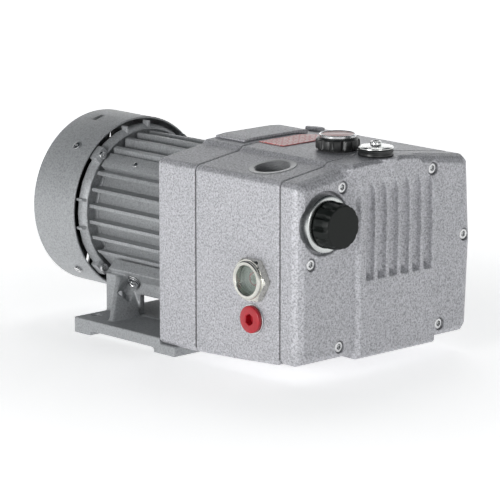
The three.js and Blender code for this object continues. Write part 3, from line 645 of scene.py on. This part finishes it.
def cowl_slots(back):
    """Cutters: two rings of slots through the cowl's back, and one slot in its side near the top."""
    work = bmesh.new()
    count = 12
    step = 360 / count
    for k in range(count):
        for inner, outer in ((18, 40), (46, 70)):
            box_into(work, back + 1, (inner + outer) / 2, (6, 4.4, outer - inner), step / 2 + step * k)
    side_x, side_reach, side_turn = -177.75, 82, 13.5
    box_into(work, side_x, side_reach, (5.5, 13, 12), side_turn)
    mesh = bpy.data.meshes.new("cowl_slots")
    work.to_mesh(mesh)
    work.free()
    cutter = bpy.data.objects.new("cowl_slots", mesh)
    bpy.context.scene.collection.objects.link(cutter)
    return cutter


def cowl():
    """The fan cowl: a shell of sheet metal with air slots in its back and one near its top."""
    low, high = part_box("fan_cowl")
    back, mouth = low.x / MM, high.x / MM
    outer, wall = COWL_RADIUS / MM, 1.8
    inner = outer - wall
    profile = [
        (0, back), (outer - 2.4, back), (outer - 1.2, back + 0.25), (outer - 0.3, back + 1.1),
        (outer, back + 2.4), (outer, mouth - 0.5), (outer - 0.4, mouth), (inner + 0.4, mouth),
        (inner, mouth - 0.5), (inner, back + 3.8), (inner - 2, back + 2), (0, back + 2),
    ]
    shell = spun("cowl", profile, SHAFT, X, segments=144)
    cutter = cowl_slots(back)
    mesh = applied(shell, ("BOOLEAN", {"operation": "DIFFERENCE", "object": cutter, "solver": "EXACT"}))
    bpy.data.objects.remove(cutter)
    stand_in("fan_cowl_shell", "fan_cowl", mesh, MOTOR_PAINT, 30)


# ---- Fittings -----------------------------------------------------------------------------------------
def knob():
    """The regulator's grip, scalloped with a flat satin face and a plain skirt, and its turned seat."""
    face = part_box("regulator_knob")[1].x / MM
    back = face - 20.6
    middle = middle_of("regulator_knob")
    line = Vector((0, middle.y, middle.z))
    profile = [
        (0, back), (17.6, back), (18.4, back + 0.8), (18.6, back + 3), (lobed(20.0, 0.2), back + 3.4),
        (lobed(20.4, 0.9), back + 4.4), (lobed(20.4, 2.7), back + 5.6), (lobed(20.4, 2.9), face - 6.6),
        (lobed(20.2, 2.2), face - 5.4), (lobed(19.9, 1.0), face - 4.6), (lobed(19.3, 0.7), face - 1.2),
        (lobed(18.9, 0.6), face - 0.4), (lobed(18.2, 0.5), face), (17.4, face), (16.6, face), (0, face),
    ]
    mesh = spun("knob", profile, line, X, segments=192)
    stand_in("regulator_knob_grip", "regulator_knob", mesh, KNOB_BLACK, 32)
    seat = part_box("knob_seat")[1].x / MM
    profile = [
        (12, seat - 10.7), (24.6, seat - 10.7), (25, seat - 10.3), (25, seat - 1.3), (24.2, seat - 0.4),
        (23.2, seat), (20.9, seat), (20.1, seat - 0.5), (19.0, seat - 3), (8, seat - 3), (8, seat - 9),
        (12, seat - 9),
    ]
    mesh = spun("seat", profile, line, X, segments=96, closed=True)
    stand_in("knob_seat_ring", "knob_seat", mesh, SEAT_STEEL, 30)


def filler():
    """The oil filler: a scalloped black grip with a bright rim round a printed disc."""
    stem = 14
    middle = middle_of("filler_cap")
    base = Vector((middle.x, middle.y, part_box("filler_cap")[0].z + stem * MM))
    profile = [
        (0, -stem), (11.2, -stem), (11.8, 0.6 - stem), (11.8, 1.6), (18.6, 1.6), (lobed(19.4, 1.4), 2.3),
        (lobed(19.6, 2.0), 3.2), (lobed(19.6, 2.0), 9), (lobed(19.3, 1.7), 10), (18.3, 10.5),
        (17.6, 11), (17.4, 11.6), (16.4, 12.2), (0, 12.2),
    ]
    stand_in("filler_grip", "filler_cap", spun("grip", profile, base, Z, segments=192), BLACK, 32)
    profile = [(15.0, 12.2), (16.4, 12.2), (16.5, 14.1), (16.1, 14.6), (15.4, 14.6), (15.0, 14.1)]
    mesh = spun("rim", profile, base, Z, segments=96, closed=True)
    place("filler_rim", mesh, STEEL, "filler", "steel")
    profile = [(0, 12.3), (14.8, 12.3), (14.8, 13.8), (14.2, 14.1), (0, 14.5)]
    mesh = spun("disc", profile, base, Z, segments=96)
    stand_in("filler_disc", "filler_cap_disc", mesh, DISC_RED, 32)


def ballast():
    """The gas ballast valve: a rubber ring under a domed steel plate with a hollow rivet."""
    middle = middle_of("ballast_ring")
    base = Vector((middle.x, middle.y, CASING_TOP))
    profile = [
        (5.9, -2), (13.9, 0.1), (15.3, 0.1), (15.6, 0.5), (15.5, 2.4), (15.2, 2.8), (15.2, 3.4), (15.5, 3.8),
        (15.6, 5.6), (15.0, 6.3), (5.9, 6.3),
    ]
    mesh = spun("ring", profile, base, Z, segments=96, closed=True)
    stand_in("ballast_rubber", "ballast_ring", mesh, BLACK)
    profile = [
        (0, 6.5), (15.5, 6.5), (15.8, 6.8), (15.7, 7.5), (15.2, 7.9), (12.6, 8.5), (9, 9.1), (5.2, 9.5),
        (5.0, 9.7), (5.0, 11.4), (4.7, 12.1), (4.0, 12.5), (3.0, 12.5), (2.4, 12.0), (2.1, 11.2), (2.0, 9.6),
        (0, 9.6),
    ]
    mesh = spun("plate", profile, base, Z, segments=96)
    stand_in("ballast_cap", "ballast_plate", mesh, PLATE_STEEL, 34)
    # A dark disc inside the hollow rivet: painted shade standing in for the depth of the bore.
    profile = [(0, 9.65), (1.95, 9.65), (1.95, 11.0), (0, 10.6)]
    place("ballast_bore_shade", spun("bore", profile, base, Z, segments=32), PAINTED_SHADE_BORE, "frame", "rubber")


def on_near_side(node):
    """A point on the line of a fitting that faces -Y, and the height of its face along that line, in mm."""
    middle = middle_of(node)
    return Vector((middle.x, 0, middle.z)), -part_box(node)[0].y / MM


def sight_glass():
    """The oil sight glass: a nickelled hexagon nut with a turned collar, a lens, a cup and a level ring."""
    line, face = on_near_side("sight_glass_nut")

    def corner(limit):
        return lambda angle: hexagonal(36, limit)(angle + math.pi / 6)

    profile = [
        (13.2, face - 5.2), (13.0, face - 0.8), (13.4, face - 0.2), (13.9, face), (16.0, face),
        (16.8, face - 0.6), (17.1, face - 1.4), (17.1, face - 2.5), (18.2, face - 2.55),
        (corner(19.2), face - 3.1), (corner(20.3), face - 4.2), (corner(20.75), face - 5.6),
        (corner(20.75), face - 8.8), (corner(20.3), face - 9.7), (16, face - 9.7), (16, face - 22),
        (14.9, face - 22), (14.9, face - 5.2),
    ]
    mesh = spun("nut", profile, line, -Y, segments=144, closed=True)
    stand_in("sight_nut", "sight_glass_nut", mesh, NICKEL, 28)
    profile = [
        (0, face - 10.4), (14.4, face - 10.4), (14.4, face - 6.2), (13.0, face - 5.6), (9, face - 5.3),
        (0, face - 5.1),
    ]
    stand_in("sight_lens", "sight_glass_lens", spun("lens", profile, line, -Y, segments=96), GLASS)
    profile = [
        (0, face - 21.5), (14.3, face - 21.5), (14.3, face - 11), (13.9, face - 11), (13.9, face - 20.5),
        (0, face - 20.5),
    ]
    place("sight_cup", spun("cup", profile, line, -Y, segments=64), SIGHT_BACK, "frame", "filter")
    profile = [(4.6, face - 13.4), (6.2, face - 13.4), (6.2, face - 12.7), (4.6, face - 12.7)]
    mesh = spun("level", profile, line, -Y, segments=64, closed=True)
    place("sight_level_ring", mesh, RED, "frame", "red_paint")


def drain():
    """The drain plug, a red socket plug with a collar, and the bright ring under it."""
    line, face = on_near_side("drain_plug")
    profile = [
        (0, face - 17), (9.4, face - 17), (10, face - 16.4), (10, face - 3.1), (12.1, face - 3.1),
        (12.2, face - 2.6), (12.2, face - 1.3), (11.8, face - 0.4), (10.9, face), (hexagonal(10, 5.5), face),
        (hexagonal(9), face - 0.6), (hexagonal(9), face - 6.5), (0, face - 7),
    ]
    stand_in("drain_plug_head", "drain_plug", spun("plug", profile, line, -Y, segments=96), RED, 32)
    profile = [
        (10.4, face - 4.7), (13.2, face - 4.7), (13.55, face - 4.4), (13.55, face - 3.7), (13.2, face - 3.4),
        (10.4, face - 3.4),
    ]
    mesh = spun("seal", profile, line, -Y, segments=96, closed=True)
    stand_in("drain_seal_ring", "drain_seal", mesh, STEEL)


def sockets():
    """The suction and exhaust sockets: a machined face on the first, and a thread in both."""
    profile = [(16.4, 0.05), (21.5, 0.05), (21.2, 0.4), (16.9, 0.4), (16.2, 0.0), (16.4, -0.4)]
    face = spun("face", profile, PORT_MOUTH, PORT_OUT, segments=96, closed=True)
    place("port_face", face, PORT_STEEL, "frame", "steel")
    first, pitch, turns = -0.6, 1.4, 10
    profile = [(16.55, -0.5)]
    for k in range(turns):
        top = first - pitch * k
        profile += [(15.6, top - 0.5), (16.5, top - 1.15)]
    profile.append((16.58, -14.8))
    exhaust = Vector((EXHAUST_X, CAD_BOX[1][1], EXHAUST_Z))
    for name, mouth, out in (("suction_thread", PORT_MOUTH, PORT_OUT), ("exhaust_thread", exhaust, Y)):
        thread = spun(name, profile, mouth, out, segments=96, closed=True)
        place(name, thread, PORT_STEEL, "frame", "steel")


def coil(name, start, end, radius, wire, turns):
    """A coil from start to end, where wire is the wire's own radius."""
    first, second = basis(end - start)
    axis = (end - start).normalized()
    steps, sides = int(turns * 24), 10
    work = bmesh.new()
    rings = []
    for k in range(steps + 1):
        angle = TAU * turns * k / steps
        out = first * math.cos(angle) + second * math.sin(angle)
        middle = start.lerp(end, k / steps) + out * radius
        points = []
        for n in range(sides):
            turn = TAU * n / sides
            points.append(work.verts.new(middle + (out * math.cos(turn) + axis * math.sin(turn)) * wire))
        rings.append(points)
    for below, above in zip(rings, rings[1:]):
        for n in range(sides):
            work.faces.new((below[n], below[(n + 1) % sides], above[(n + 1) % sides], above[n]))
    work.faces.new(rings[0][::-1])
    work.faces.new(rings[-1])
    return mesh_from(work, name)


def springs():
    """Both springs, each coiled between the end that its piece presses and a fixed end."""
    pressed_depth, fixed_depth = 26.0 * MM, 40.4 * MM
    pressed, fixed = PORT_MOUTH - PORT_OUT * pressed_depth, PORT_MOUTH - PORT_OUT * fixed_depth
    mesh = coil("spring", fixed, pressed, 6 * MM, 0.6 * MM, 5)
    spring = stand_in("valve_spring", "nonreturn_spring", mesh, STEEL, 60)
    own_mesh(spring)
    low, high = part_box("regulator_spring")
    middle = middle_of("regulator_spring")
    inset = 0.8 * MM
    pressed = Vector((low.x + inset, middle.y, middle.z))
    fixed = Vector((high.x - inset, middle.y, middle.z))
    mesh = coil("spring", pressed, fixed, 6.6 * MM, 0.7 * MM, 5)
    spring = stand_in("plunger_spring", "regulator_spring", mesh, STEEL, 60)
    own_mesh(spring)


def rubber_feet():
    for node in ("rubber_foot_1", "rubber_foot_2"):
        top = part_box(node)[1].z / MM
        middle = middle_of(node)
        profile = [
            (0, 0), (3, 0), (3.4, 1.6), (7, 1.6), (7.6, 0), (9.2, 0), (10.4, 0.6), (11.2, 2.2),
            (11.9, top - 3.8), (12, top - 0.7), (11.6, top), (0, top),
        ]
        mesh = spun(node, profile, Vector((middle.x, middle.y, 0)), Z, segments=64)
        stand_in(node + "_buffer", node, mesh, RUBBER)


def main():
    bpy.context.scene.view_settings.view_transform = "Standard"
    camera()
    world()
    floor()
    aim = (0, 0, 0.1)
    area_light("key", (0.3, -2.8, 0.55), aim, 0.9, 36)
    area_light("front", (2.8, -0.8, 0.7), aim, 1.2, 9)
    area_light("overhead", (-0.8, 1.1, 2.2), aim, 0.9, 5)
    for node, piece in NODES.items():
        piece.data.materials.clear()
        piece.data.materials.append(finish_of(node))
    castings()
    motor()
    fasteners()
    knob()
    filler()
    ballast()
    sight_glass()
    drain()
    sockets()
    rubber_feet()
    springs()


main()
